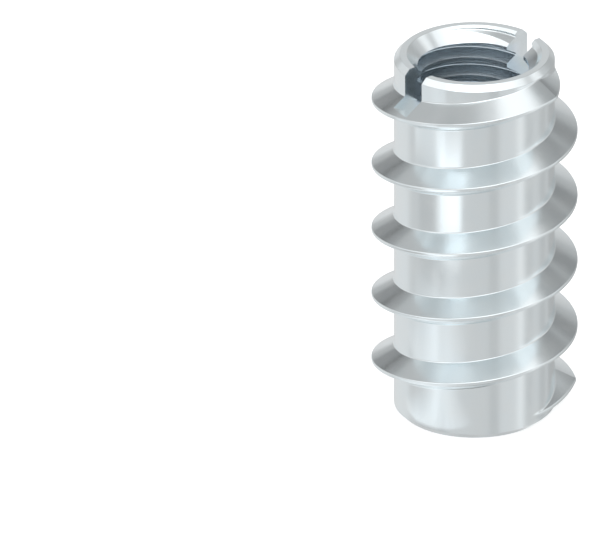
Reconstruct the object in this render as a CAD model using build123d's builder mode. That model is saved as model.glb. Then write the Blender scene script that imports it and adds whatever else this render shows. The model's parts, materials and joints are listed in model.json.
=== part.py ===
from build123d import *
import os
from math import radians, tan

# Threaded insert: a metal bush that cuts its own coarse thread into wood or plastic
# and offers a metric thread inside. It stands on its leading end, the driver slot is
# on top and runs along X, and the axis is Z. Lengths are in millimetres.

# Body
body_length = 30.0
core_dia = 12.4
leading_chamfer = 0.5
slotted_chamfer = 0.45

# Outer self-cutting thread, a single right-hand flight
flight_dia = 15.9
flight_pitch = 5.5
flight_crest_width = 0.25
flight_flank_angle = 30.0  # from the plane square to the axis, on both sides
flight_start_angle = -29.7  # where full height begins at the leading end, about Z from +X
flight_root_depth = 0.4  # how deep the flight is rooted in the core

# Run-outs, where the flight sinks into the core at both ends and bends towards the end face
runout_overshoot = 0.15  # how far under the core's surface the crest stops
runout_sections = 9
leading_runout_angle = 80.0
leading_runout_curve = 2.45  # power that rounds the crest's way down
leading_runout_slide = 0.33  # how far the crest moves to the end face, per depth it has sunk
slotted_runout_angle = 42.5
slotted_runout_curve = 1.3
slotted_runout_slide = 0.17

# Bore, at the minor diameter of its metric thread
inner_thread_dia = 10.0
inner_thread_pitch = 1.5
minor_diameter_factor = 1.0825  # 5/8 of a 60 degree thread's sharp depth, on both sides
countersink_angle = 90.0  # of the mouths at both ends
slotted_ring_width = 0.525  # flat ring between the mouth and the chamfer, slotted end
leading_ring_width = 0.6  # the same at the leading end

# Driver slot, straight across the slotted end
slot_width = 2.0
slot_depth = 2.8

# Sizes that follow from those above
core_radius = core_dia / 2
flight_radius = flight_dia / 2
bore_radius = (inner_thread_dia - minor_diameter_factor * inner_thread_pitch) / 2
slotted_mouth_radius = core_radius - slotted_chamfer - slotted_ring_width
leading_mouth_radius = core_radius - leading_chamfer - leading_ring_width
leading_mouth_depth = (leading_mouth_radius - bore_radius) / tan(radians(countersink_angle / 2))
root_radius = core_radius - flight_root_depth
sunk_radius = core_radius - runout_overshoot
flank_rise = tan(radians(flight_flank_angle))
flight_half_base = flight_crest_width / 2 + (flight_radius - core_radius) * flank_rise
flight_bottom = leading_chamfer + flight_half_base
flight_top = body_length - slotted_chamfer - flight_half_base
flight_turn = 360 * (flight_top - flight_bottom) / flight_pitch
slot_reach = 2 * flight_dia


def axial_plane(angle):
    """Plane through the axis: its x is the radius and its y the height."""
    outward = Vector(1, 0, 0).rotate(Axis.Z, angle)
    return Plane(origin=(0, 0, 0), x_dir=outward, z_dir=outward.cross(Vector(0, 0, 1)))


def flight_section(turn, middle, crest_radius):
    """Section of the flight, turn degrees on from where its full height begins."""
    half_crest = flight_crest_width / 2
    half_root = half_crest + (crest_radius - root_radius) * flank_rise
    with BuildSketch(axial_plane(flight_start_angle + turn)) as section:
        with BuildLine():
            Polyline(
                (root_radius, middle - half_root),
                (crest_radius, middle - half_crest),
                (crest_radius, middle + half_crest),
                (root_radius, middle + half_root),
                close=True,
            )
        make_face()
    return section.sketch


def runout(turn, middle, angle, curve, slide):
    """Sections of one end of the flight, on from its last full section, down to under the core."""
    sections = []
    for step in range(runout_sections):
        share = step / (runout_sections - 1)
        crest_radius = sunk_radius + (flight_radius - sunk_radius) * (1 - share) ** curve
        slid = slide * (flight_radius - crest_radius)
        sections.append(flight_section(turn + angle * share, middle + slid, crest_radius))
    return sections


with BuildPart() as insert_nut:
    # Core, chamfered at both ends
    with BuildSketch(Plane.XY):
        Circle(core_radius)
    extrude(amount=body_length)
    rims = insert_nut.edges().filter_by(GeomType.CIRCLE).sort_by(Axis.Z)
    chamfer(rims[0], length=leading_chamfer)
    chamfer(rims[-1], length=slotted_chamfer)

    # Bore, with a countersunk mouth at both ends
    with Locations(Plane.XY.offset(body_length)):
        CounterSinkHole(
            radius=bore_radius,
            counter_sink_radius=slotted_mouth_radius,
            counter_sink_angle=countersink_angle,
        )
    leading_face = insert_nut.faces().sort_by(Axis.Z)[0]
    leading_rim = leading_face.edges().sort_by(SortBy.RADIUS)[0]
    chamfer(
        leading_rim,
        length=leading_mouth_radius - bore_radius,
        length2=leading_mouth_depth,
        reference=leading_face,
    )

    # Flight of the outer thread, swept at full height
    helix = Helix(
        pitch=flight_pitch,
        height=flight_top - flight_bottom,
        radius=core_radius,
        center=(0, 0, flight_bottom),
        mode=Mode.PRIVATE,
    )
    flight_path = helix.rotate(Axis.Z, flight_start_angle)
    first_section = flight_section(0, flight_bottom, flight_radius)
    sweep(sections=first_section, path=flight_path, is_frenet=True)

    # Run-out at the leading end, backwards and down from where full height begins
    leading_sections = runout(
        0, flight_bottom, -leading_runout_angle, leading_runout_curve, -leading_runout_slide
    )
    loft(sections=leading_sections)

    # Run-out at the slotted end, onwards and up from where full height ends
    slotted_sections = runout(
        flight_turn, flight_top, slotted_runout_angle, slotted_runout_curve, slotted_runout_slide
    )
    loft(sections=slotted_sections)

    # Driver slot, through the whole diameter and the flight beside it
    with BuildSketch(Plane.XY.offset(body_length)):
        Rectangle(slot_reach, slot_width)
    extrude(amount=-slot_depth, mode=Mode.SUBTRACT)

insert_nut.part.label = "insert_nut"

os.makedirs("parts", exist_ok=True)
export_step(insert_nut.part, "parts/insert_nut.step")
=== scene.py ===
import json
from math import ceil, cos, pi, radians, sin, tan

import bmesh
import bpy
from mathutils import Matrix, Vector


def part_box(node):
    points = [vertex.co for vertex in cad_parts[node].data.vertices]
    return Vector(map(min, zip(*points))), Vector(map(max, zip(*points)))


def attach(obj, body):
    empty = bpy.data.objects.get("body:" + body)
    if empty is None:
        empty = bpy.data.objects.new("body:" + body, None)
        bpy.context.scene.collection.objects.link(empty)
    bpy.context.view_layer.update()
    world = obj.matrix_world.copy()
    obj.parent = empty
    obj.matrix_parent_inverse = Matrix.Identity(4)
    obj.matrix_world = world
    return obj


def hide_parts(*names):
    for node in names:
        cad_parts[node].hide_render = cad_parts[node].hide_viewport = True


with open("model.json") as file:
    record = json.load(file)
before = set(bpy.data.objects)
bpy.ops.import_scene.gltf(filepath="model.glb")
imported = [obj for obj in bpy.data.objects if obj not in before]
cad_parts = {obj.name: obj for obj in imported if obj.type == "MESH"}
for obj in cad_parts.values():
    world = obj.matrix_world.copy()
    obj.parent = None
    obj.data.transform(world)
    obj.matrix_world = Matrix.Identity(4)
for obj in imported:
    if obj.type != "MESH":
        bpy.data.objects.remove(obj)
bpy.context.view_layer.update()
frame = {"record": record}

# A slotted self-tapping insert, turned from steel, threaded inside and out and zinc plated.
# It stands on its leading end with its axis on Z, and the driver slot on top runs along X.
# Everything is in metres, and MM turns a size in millimetres into metres.

MM = 0.001
NODE = "insert_nut"

lowest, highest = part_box(NODE)
mounts = {mount["name"]: mount for mount in frame["record"]["mounts"]}

# Sizes that the frame gives
body_length = highest.z - lowest.z
flight_radius = mounts["cutting_thread"]["dims"]["r_mm"] * MM
minor_radius = mounts["metric_thread"]["dims"]["r_mm"] * MM
slot_floor = mounts["driver_slot"]["pos_m"][2]

# Body
core_radius = 6.2 * MM
leading_chamfer = 0.5 * MM
slotted_chamfer = 0.45 * MM
leading_ring_width = 0.6 * MM
slotted_ring_width = 0.525 * MM
edge_break = 0.05 * MM  # radius left on turned rims

# Outer self-cutting thread, one right-hand flight
flight_pitch = 5.5 * MM
flight_crest_width = 0.25 * MM
flight_flank_angle = 30.0
flight_start_angle = -29.7  # where full height begins at the leading end, about Z from +X
root_fillet = 0.13 * MM
crest_rounding = 0.1 * MM

# Run-outs, where the flight sinks into the core at both ends and bends towards the end face
runout_overshoot = 0.15 * MM  # how far under the core's surface the crest stops
leading_runout_angle = 80.0
leading_runout_curve = 2.45  # power that rounds the crest's way down
leading_runout_slide = 0.33  # how far the crest moves to the end face, per depth it has sunk
slotted_runout_angle = 42.5
slotted_runout_curve = 1.3
slotted_runout_slide = 0.17
least_ridge = 0.22 * MM  # a lower ridge keeps this one's width and only flattens

# Inner metric thread
inner_pitch = 1.5 * MM
inner_flank_angle = 30.0
inner_major_radius = 5.06 * MM  # of the 10 mm thread, with a little clearance at its rounded root
inner_root_angle = 50.3  # where a root's middle stands at inner_root_height, about Z from +X
inner_root_height = 28.3 * MM
inner_root_rounding = 0.14 * MM
inner_crest_rounding = 0.01 * MM

# Driver slot
slot_width = 2.0 * MM

# Sizes that follow, and those of the cutting shapes
flank_rise = tan(radians(flight_flank_angle))
half_crest = flight_crest_width / 2
full_height = flight_radius - core_radius
half_base = half_crest + full_height * flank_rise
flight_bottom = leading_chamfer + half_base
flight_top = body_length - slotted_chamfer - half_base
flight_turn = 360 * (flight_top - flight_bottom) / flight_pitch
beyond = 1.0 * MM  # how far a cutting shape reaches past both ends
bore_stock = 0.3 * MM  # left in the blank's bore for the tap
slot_cut_length = 4 * flight_radius  # well past both sides

# How finely the round forms are divided
outer_turn_steps = 144
inner_turn_steps = 72
rim_steps = 240
rim_pieces = 5  # pieces that a rounding's arc is made of, here and below
root_pieces = 8
crest_pieces = 6
inner_root_pieces = 12
inner_crest_pieces = 3
arc_hold = 1.5  # how far beside a corner its straight side is held, in lengths of its arc's reach
weld = 0.001 * MM  # points nearer than this are one
cut_reach = 1e-5 * MM  # how near a point lies to a cutting plane to be on it
sharp_angle = 11.0  # edges that turn more than this stay sharp to the eye

# Finish of the plate, and of the bore, where the plate is thinner
plate_tints = ("#EFF8FC", "#F5FAFB")
plate_roughness = (0.16, 0.22)
mottle_size = 1.6 * MM  # across one cloud of the plate's faint mottle
bore_tint = "#F0F9FF"
bore_roughness = 0.24
bore_fade_radii = (5.6 * MM, 5.05 * MM)  # between them the one finish turns into the other
bore_fade_heights = (29.2 * MM, 28.9 * MM)  # the same, down through the slotted mouth


def polar(radius, angle, height):
    """Point at an angle in degrees about Z."""
    return Vector((radius * cos(radians(angle)), radius * sin(radians(angle)), height))


def rounded(corners):
    """Outline through corners of (radius, height, rounding, pieces of its arc),
    held straight between them."""
    points = [Vector(corner[:2]) for corner in corners]
    outline = [points[0]]
    for before, here, after, corner in zip(points, points[1:], points[2:], corners[1:]):
        rounding, pieces = corner[2:]
        inward = (before - here).normalized()
        outward = (after - here).normalized()
        turn = pi - inward.angle(outward)
        reach = rounding * tan(turn / 2)
        centre = here + (inward + outward).normalized() * (rounding / cos(turn / 2))
        spoke = (here + inward * reach - centre).to_3d()
        piece_turn = turn / pieces * (-1 if inward.cross(outward) > 0 else 1)
        outline.append(here + inward * arc_hold * reach)
        for piece in range(pieces + 1):
            outline.append(centre + (Matrix.Rotation(piece * piece_turn, 3, "Z") @ spoke).to_2d())
        outline.append(here + outward * arc_hold * reach)
    outline.append(points[-1])
    return outline


def wire(bm, outline, angle, closed=False):
    """Edges through the outline's points, in the plane through Z at this angle."""
    verts = [bm.verts.new(polar(point.x, angle, point.y)) for point in outline]
    pairs = zip(verts, verts[1:] + verts[:1]) if closed else zip(verts, verts[1:])
    return verts, [bm.edges.new(pair) for pair in pairs]


def finished(bm, name):
    """Object with this mesh, its faces turned outwards."""
    bmesh.ops.recalc_face_normals(bm, faces=bm.faces)
    mesh = bpy.data.meshes.new(name)
    bm.to_mesh(mesh)
    bm.free()
    piece = bpy.data.objects.new(name, mesh)
    bpy.context.scene.collection.objects.link(piece)
    return piece


def screw(
    name, outline_at, pitch, start_angle, start_height, first_step, last_step, turn_steps,
):
    """Threaded rod: one pitch of its outline is stepped round and up, so that each turn
    closes on the one before."""
    bm = bmesh.new()
    step_angle = 360 / turn_steps
    rise = pitch / turn_steps
    # One turn at a time, so that the mesh that is spun stays small
    for first in range(first_step, last_step, turn_steps):
        one_turn = bmesh.new()
        outline = outline_at(first * step_angle)
        verts, edges = wire(one_turn, outline, start_angle + first * step_angle)
        bmesh.ops.translate(one_turn, vec=(0, 0, start_height + first * rise), verts=verts)
        for step in range(first + 1, min(first + turn_steps, last_step) + 1):
            made = bmesh.ops.spin(
                one_turn, geom=verts + edges, cent=(0, 0, 0), axis=(0, 0, 1),
                dvec=(0, 0, rise), angle=radians(step_angle), steps=1,
            )
            verts = [vert for vert in made["geom_last"] if isinstance(vert, bmesh.types.BMVert)]
            edges = [edge for edge in made["geom_last"] if isinstance(edge, bmesh.types.BMEdge)]
            new_outline = outline_at(step * step_angle)
            outward = polar(1, start_angle + step * step_angle, 0)
            for vert, old, new in zip(verts, outline, new_outline):
                vert.co += outward * (new.x - old.x) + Vector((0, 0, new.y - old.y))
            outline = new_outline
        mesh = bpy.data.meshes.new(name)
        one_turn.to_mesh(mesh)
        one_turn.free()
        bm.from_mesh(mesh)
        bpy.data.meshes.remove(mesh)
    bmesh.ops.remove_doubles(bm, verts=bm.verts, dist=weld)
    for height, direction in ((-beyond, -1), (body_length + beyond, 1)):
        bmesh.ops.bisect_plane(
            bm, geom=bm.verts[:] + bm.edges[:] + bm.faces[:], dist=cut_reach,
            plane_co=(0, 0, height), plane_no=(0, 0, direction), clear_outer=True,
        )
    bmesh.ops.holes_fill(bm, edges=[edge for edge in bm.edges if edge.is_boundary], sides=0)
    return finished(bm, name)


def flight_crest(turn):
    """Height of the outer thread's crest over the core, turn degrees on from its full start,
    and how far it stands there from the even helix."""
    if turn < 0:
        angle, curve, slide = leading_runout_angle, leading_runout_curve, -leading_runout_slide
        past = max(turn, -angle)
    else:
        angle, curve, slide = slotted_runout_angle, slotted_runout_curve, slotted_runout_slide
        past = min(max(turn - flight_turn, 0), angle)
    deepest = full_height + runout_overshoot
    sunk = deepest * (1 - (1 - abs(past) / angle) ** curve)
    return max(full_height - sunk, 0), slide * sunk - flight_pitch * past / 360


def flight_outline(turn):
    """One pitch of the outer thread as it is there, from the middle of one land to the next."""
    height, shift = flight_crest(turn)
    ridge = max(height, least_ridge)
    crest = core_radius + ridge
    base = half_crest + ridge * flank_rise
    outline = rounded([
        (core_radius, -flight_pitch / 2),
        (core_radius, shift - base, root_fillet, root_pieces),
        (crest, shift - half_crest, crest_rounding, crest_pieces),
        (crest, shift + half_crest, crest_rounding, crest_pieces),
        (core_radius, shift + base, root_fillet, root_pieces),
        (core_radius, flight_pitch / 2),
    ])
    for point in outline:
        point.x = core_radius + (point.x - core_radius) * height / ridge
    return outline


def inner_outline(_turn):
    """One pitch of the tap that cuts the inner thread, from one crest's middle to the next."""
    apex = inner_major_radius + inner_root_rounding
    half_open = (apex - minor_radius) * tan(radians(inner_flank_angle))
    return rounded([
        (minor_radius, -inner_pitch / 2),
        (minor_radius, -half_open, inner_crest_rounding, inner_crest_pieces),
        (apex, 0, inner_root_rounding, inner_root_pieces),
        (minor_radius, half_open, inner_crest_rounding, inner_crest_pieces),
        (minor_radius, inner_pitch / 2),
    ])


def outer_screw():
    """The core with its flight, longer than the body at both ends."""
    margin = flight_pitch / 2 + 2 * beyond
    first = -ceil((flight_bottom + margin) / flight_pitch * outer_turn_steps)
    last = ceil((body_length - flight_bottom + margin) / flight_pitch * outer_turn_steps)
    return screw(
        "outer_screw", flight_outline, flight_pitch, flight_start_angle, flight_bottom,
        first, last, outer_turn_steps,
    )


def tap():
    """What the inner thread leaves open, longer than the body at both ends."""
    margin = inner_pitch / 2 + 2 * beyond
    first = -ceil((inner_root_height + margin) / inner_pitch * inner_turn_steps)
    last = ceil((body_length - inner_root_height + margin) / inner_pitch * inner_turn_steps)
    return screw(
        "tap", inner_outline, inner_pitch, inner_root_angle, inner_root_height,
        first, last, inner_turn_steps,
    )


def turned_blank():
    """Ring with the body's end faces, chamfers and mouths, and clear of both threads elsewhere."""
    clear_radius = flight_radius + beyond
    bore = minor_radius - bore_stock
    slotted_rim = core_radius - slotted_chamfer
    leading_rim = core_radius - leading_chamfer
    slotted_mouth = slotted_rim - slotted_ring_width
    leading_mouth = leading_rim - leading_ring_width
    bm = bmesh.new()
    outline = rounded([
        (clear_radius, body_length / 2),
        (clear_radius, body_length - slotted_chamfer, edge_break, rim_pieces),
        (core_radius, body_length - slotted_chamfer, edge_break, rim_pieces),
        (slotted_rim, body_length, edge_break, rim_pieces),
        (slotted_mouth, body_length, edge_break, rim_pieces),
        (bore, body_length - (slotted_mouth - bore), edge_break, rim_pieces),
        (bore, leading_mouth - bore, edge_break, rim_pieces),
        (leading_mouth, 0, edge_break, rim_pieces),
        (leading_rim, 0, edge_break, rim_pieces),
        (core_radius, leading_chamfer, edge_break, rim_pieces),
        (clear_radius, leading_chamfer, edge_break, rim_pieces),
        (clear_radius, body_length / 2),
    ])
    verts, edges = wire(bm, outline[:-1], 0, closed=True)
    bmesh.ops.spin(
        bm, geom=verts + edges, cent=(0, 0, 0), axis=(0, 0, 1), angle=2 * pi,
        steps=rim_steps, use_merge=True,
    )
    bmesh.ops.remove_doubles(bm, verts=bm.verts, dist=weld)
    return finished(bm, "turned_blank")


def slot_cutter():
    """Saw cut straight across the slotted end."""
    bm = bmesh.new()
    bmesh.ops.create_cube(bm, size=1)
    height = body_length + beyond - slot_floor
    bmesh.ops.scale(bm, vec=(slot_cut_length, slot_width, height), verts=bm.verts)
    bmesh.ops.translate(bm, vec=(0, 0, slot_floor + height / 2), verts=bm.verts)
    return finished(bm, "slot_cutter")


def machine(piece, tool, operation):
    """Applies one Boolean operation and removes the tool."""
    modifier = piece.modifiers.new(tool.name, "BOOLEAN")
    modifier.operation = operation
    modifier.solver = "MANIFOLD"
    modifier.object = tool
    depsgraph = bpy.context.evaluated_depsgraph_get()
    mesh = bpy.data.meshes.new_from_object(piece.evaluated_get(depsgraph))
    piece.modifiers.clear()
    piece.data = mesh
    bpy.data.objects.remove(tool)


def threaded_insert():
    """The whole insert: a turned blank, threaded outside and inside, then slotted."""
    piece = turned_blank()
    machine(piece, outer_screw(), "INTERSECT")
    machine(piece, tap(), "DIFFERENCE")
    machine(piece, slot_cutter(), "DIFFERENCE")
    piece.name = "threaded_insert"
    piece.data.name = "threaded_insert"
    piece.data.shade_smooth()
    piece.data.set_sharp_from_angle(angle=radians(sharp_angle))
    return piece


def linear(hex_colour):
    """sRGB hex value as linear red, green, blue and alpha."""
    channels = [int(hex_colour[start:start + 2], 16) / 255 for start in (1, 3, 5)]
    return [
        channel / 12.92 if channel <= 0.04045 else ((channel + 0.055) / 1.055) ** 2.4
        for channel in channels
    ] + [1]


def add(tree, kind, settings=None, inputs=None):
    """New node of this kind. Its inputs go by name or number, and each is given a value or
    the output socket that it is linked to."""
    node = tree.nodes.new(kind)
    for name, value in (settings or {}).items():
        setattr(node, name, value)
    for name, value in (inputs or {}).items():
        if isinstance(value, bpy.types.NodeSocket):
            tree.links.new(value, node.inputs[name])
        else:
            node.inputs[name].default_value = value
    return node


def zinc_plated_steel():
    """Turned steel under bright zinc plate with clear blue passivation: it mirrors what is
    round it, a little soft and faintly mottled, and is duller and bluer in the tapped bore."""
    material = bpy.data.materials.new("zinc_plated_steel")
    material.use_nodes = True
    tree = material.node_tree
    tree.nodes.clear()
    place = add(tree, "ShaderNodeTexCoord").outputs["Object"]
    mottle = add(tree, "ShaderNodeTexNoise", None, {
        "Vector": place, "Scale": 1 / mottle_size, "Detail": 4.0, "Roughness": 0.55,
    }).outputs["Fac"]
    tint = add(tree, "ShaderNodeMix", {"data_type": "RGBA"}, {
        "Factor": mottle, "A": linear(plate_tints[0]), "B": linear(plate_tints[1]),
    }).outputs["Result"]
    gloss = add(tree, "ShaderNodeMapRange", None, {
        "Value": mottle, "From Min": 0.3, "From Max": 0.7,
        "To Min": plate_roughness[0], "To Max": plate_roughness[1],
    }).outputs["Result"]
    across = add(tree, "ShaderNodeVectorMath", {"operation": "MULTIPLY"}, {
        0: place, 1: (1, 1, 0),
    }).outputs["Vector"]
    from_axis = add(tree, "ShaderNodeVectorMath", {"operation": "LENGTH"}, {
        0: across,
    }).outputs["Value"]
    height = add(tree, "ShaderNodeSeparateXYZ", None, {"Vector": place}).outputs["Z"]
    in_bore = add(tree, "ShaderNodeMapRange", None, {
        "Value": from_axis, "From Min": bore_fade_radii[0], "From Max": bore_fade_radii[1],
        "To Min": 0.0, "To Max": 1.0,
    }).outputs["Result"]
    below_mouth = add(tree, "ShaderNodeMapRange", None, {
        "Value": height, "From Min": bore_fade_heights[0], "From Max": bore_fade_heights[1],
        "To Min": 0.0, "To Max": 1.0,
    }).outputs["Result"]
    tapped = add(tree, "ShaderNodeMath", {"operation": "MULTIPLY"}, {
        0: in_bore, 1: below_mouth,
    }).outputs["Value"]
    roughness = add(tree, "ShaderNodeMix", {"data_type": "FLOAT"}, {
        "Factor": tapped, "A": gloss, "B": bore_roughness,
    }).outputs["Result"]
    colour = add(tree, "ShaderNodeMix", {"data_type": "RGBA"}, {
        "Factor": tapped, "A": tint, "B": linear(bore_tint),
    }).outputs["Result"]
    surface = add(tree, "ShaderNodeBsdfPrincipled", None, {
        "Base Color": colour, "Metallic": 1.0, "Roughness": roughness,
    })
    add(tree, "ShaderNodeOutputMaterial", None, {"Surface": surface.outputs["BSDF"]})
    return material


def studio_floor():
    """Table under the part, covered with matt white paper that shows no shine. The part
    doesn't mirror it, as if the light tent went on below."""
    bm = bmesh.new()
    bmesh.ops.create_grid(bm, x_segments=1, y_segments=1, size=floor_half_width)
    floor = finished(bm, "floor")
    material = bpy.data.materials.new("matt_white_paper")
    material.use_nodes = True
    tree = material.node_tree
    tree.nodes.clear()
    surface = add(tree, "ShaderNodeBsdfPrincipled", None, {
        "Base Color": linear("#F4F4F4"), "Roughness": 0.9,
        "Emission Color": (1, 1, 1, 1), "Emission Strength": floor_glow,
    })
    add(tree, "ShaderNodeOutputMaterial", None, {"Surface": surface.outputs["BSDF"]})
    floor.data.materials.append(material)
    floor.visible_glossy = False


# Camera, with its places measured from the part's origin
camera_azimuth = -39.7
camera_elevation = 25.0
frame_width = 46.2 * MM
centre_right = -13.437 * MM
centre_up = 9.738 * MM
camera_distance = 0.5
camera_clip = (0.01, 5.0)

# Table
floor_half_width = 1.0
floor_glow = 0.55  # makes the table as white as the surroundings

# Light tent, with angles in degrees and azimuths to the right of the camera
tent_brightness = 0.62
panel_fade = (48.0, 66.0)  # elevations between which the upright panels end
panels = [  # azimuth, half width that is even, half width where it ends, brightness added
    (-110, 48, 64, 0.12),
    (28, 3, 9, -0.08),
    (56, 14, 24, 0.06),
    (67, 3, 9, 0.04),
    (86, 3, 9, -0.08),
    (116, 4, 11, -0.1),
    (149, 9, 24, -0.17),
]
# A lamp adds brightness, and a dark flag takes it away
lamps = [  # azimuth, elevation, the same half widths, brightness added
    (0, 60, 20, 30, 1.0),
    (-70, 45, 14, 24, 0.4),
    (78, 56, 13, 19, 0.5),
    (108, 76, 8, 14, 0.5),
    (111, 32, 4, 10, 0.5),
    (97, 0, 9, 16, 0.12),
    (86, -10, 7, 14, 0.42),
    (70, -15, 5, 11, 0.44),
    (164, 4, 4, 16, 0.16),
    (-173, -11, 5, 14, 0.1),
    (171, -35, 5, 12, 0.4),
    (126, 52, 8, 14, -0.23),
    (142, 30, 4, 13, -0.18),
    (-118, 68, 8, 16, -0.17),
    (-131, 44, 9, 15, -0.26),
    (-143, 28, 4, 9, -0.44),
    (-152, 17, 7, 11, -0.46),
    (-161, 6, 4, 8, -0.26),
    (-144, 7, 5, 11, -0.14),
    (-76, -22, 20, 36, -0.14),
    (-74, -25, 6, 15, -0.08),
    (-18, -46, 10, 20, 0.15),
    (157, -54, 10, 18, 0.1),
    (-166, -55, 12, 20, -0.1),
    (0, -74, 14, 24, -0.3),
]

# Cards of light near the part, mirrored in its left side: three stand, and two lie on the table.
# A card that fades sideways is a stack of ever narrower ones.
cards = [
    # azimuth, distance, height, lean back from upright, width and length in millimetres,
    # watts per square metre, cards in the stack
    (-33, 27, 11.3, 0, 17, 11, 0.85, 1),
    (-32, 27, 10.2, 0, 13, 8, 1.15, 1),
    (-62, 27, 18, 0, 24, 11, 0.75, 1),
    (-42, 12, 0.1, 90, 12, 10, 1.25, 7),
    (-53, 23, 0.1, 90, 33, 16, 1.25, 7),
]
card_gap = 0.05  # millimetres between the cards of a stack
card_colour = "#F5FBFF"


def to_camera():
    """Unit vector from the part to the camera, and those to the picture's right and top."""
    azimuth, elevation = radians(camera_azimuth), radians(camera_elevation)
    back = Vector((sin(azimuth) * cos(elevation), -cos(azimuth) * cos(elevation), sin(elevation)))
    right = Vector((cos(azimuth), sin(azimuth), 0))
    return back, right, back.cross(right)


def camera():
    """Parallel view, as a long lens gives it."""
    back, right, up = to_camera()
    data = bpy.data.cameras.new("camera")
    data.type = "ORTHO"
    data.ortho_scale = frame_width
    data.clip_start, data.clip_end = camera_clip
    view = bpy.data.objects.new("camera", data)
    view.location = right * centre_right + up * centre_up + back * camera_distance
    view.rotation_mode = "QUATERNION"
    view.rotation_quaternion = Matrix((right, up, back)).transposed().to_quaternion()
    bpy.context.scene.collection.objects.link(view)
    bpy.context.scene.camera = view


def light_tent():
    """White surroundings with upright panels, soft lamps and dark flags, all far away."""
    world = bpy.data.worlds.new("light_tent")
    world.use_nodes = True
    tree = world.node_tree
    tree.nodes.clear()

    def aimed(source, azimuth, elevation, even, end, brightness):
        """Brightness near an aim, fading from where it is even to where it ends."""
        aim = polar(cos(radians(elevation)), camera_azimuth - 90 + azimuth, sin(radians(elevation)))
        nearness = add(tree, "ShaderNodeVectorMath", {"operation": "DOT_PRODUCT"}, {
            0: source, 1: aim,
        }).outputs["Value"]
        return add(tree, "ShaderNodeMapRange", {"interpolation_type": "SMOOTHSTEP"}, {
            "Value": nearness,
            "From Min": cos(radians(end)), "From Max": cos(radians(even)),
            "To Min": 0.0, "To Max": brightness,
        }).outputs["Result"]

    direction = add(tree, "ShaderNodeTexCoord").outputs["Generated"]
    flat = add(tree, "ShaderNodeVectorMath", {"operation": "MULTIPLY"}, {
        0: direction, 1: (1, 1, 0),
    }).outputs["Vector"]
    level = add(tree, "ShaderNodeVectorMath", {"operation": "NORMALIZE"}, {
        0: flat,
    }).outputs["Vector"]
    upward = add(tree, "ShaderNodeSeparateXYZ", None, {"Vector": direction}).outputs["Z"]
    fade_start, fade_end = (sin(radians(elevation)) for elevation in panel_fade)
    fade = add(tree, "ShaderNodeMapRange", {"interpolation_type": "SMOOTHSTEP"}, {
        "Value": upward, "From Min": fade_start, "From Max": fade_end,
        "To Min": 1.0, "To Max": 0.0,
    }).outputs["Result"]
    walls = 0.0
    for azimuth, even, end, brightness in panels:
        panel = aimed(level, azimuth, 0, even, end, brightness)
        walls = add(tree, "ShaderNodeMath", {"operation": "ADD"}, {
            0: walls, 1: panel,
        }).outputs["Value"]
    upright = add(tree, "ShaderNodeMath", {"operation": "MULTIPLY"}, {
        0: walls, 1: fade,
    }).outputs["Value"]
    total = add(tree, "ShaderNodeMath", {"operation": "ADD"}, {
        0: tent_brightness, 1: upright,
    }).outputs["Value"]
    for azimuth, elevation, even, end, brightness in lamps:
        lamp = aimed(direction, azimuth, elevation, even, end, brightness)
        total = add(tree, "ShaderNodeMath", {"operation": "ADD"}, {
            0: total, 1: lamp,
        }).outputs["Value"]
    shine = add(tree, "ShaderNodeBackground", None, {"Color": (1, 1, 1, 1), "Strength": total})
    add(tree, "ShaderNodeOutputWorld", None, {"Surface": shine.outputs["Background"]})
    bpy.context.scene.world = world
    bpy.context.scene.view_settings.view_transform = "Standard"


def light_cards():
    """The cards of light near the part, which the camera doesn't see."""
    for azimuth, distance, height, lean, width, length, power, stack in cards:
        heading = camera_azimuth - 90 + azimuth
        upright = polar(1, heading, 0).to_track_quat("Z", "Y")
        leaning = upright @ Matrix.Rotation(radians(lean), 3, "X").to_quaternion()
        for step in range(stack):
            data = bpy.data.lights.new("light_card", "AREA")
            data.shape = "RECTANGLE"
            data.size = width * (1 - step / stack) * MM
            data.size_y = length * MM
            data.energy = power * data.size * data.size_y / stack
            data.color = linear(card_colour)[:3]
            card = bpy.data.objects.new("light_card", data)
            card.location = polar(distance, heading, height + step * card_gap) * MM
            card.rotation_mode = "QUATERNION"
            card.rotation_quaternion = leaning
            card.visible_camera = False
            bpy.context.scene.collection.objects.link(card)


camera()
studio_floor()
light_tent()
light_cards()
insert = threaded_insert()
insert.data.materials.clear()
insert.data.materials.append(zinc_plated_steel())
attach(insert, "root")
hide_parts(NODE)
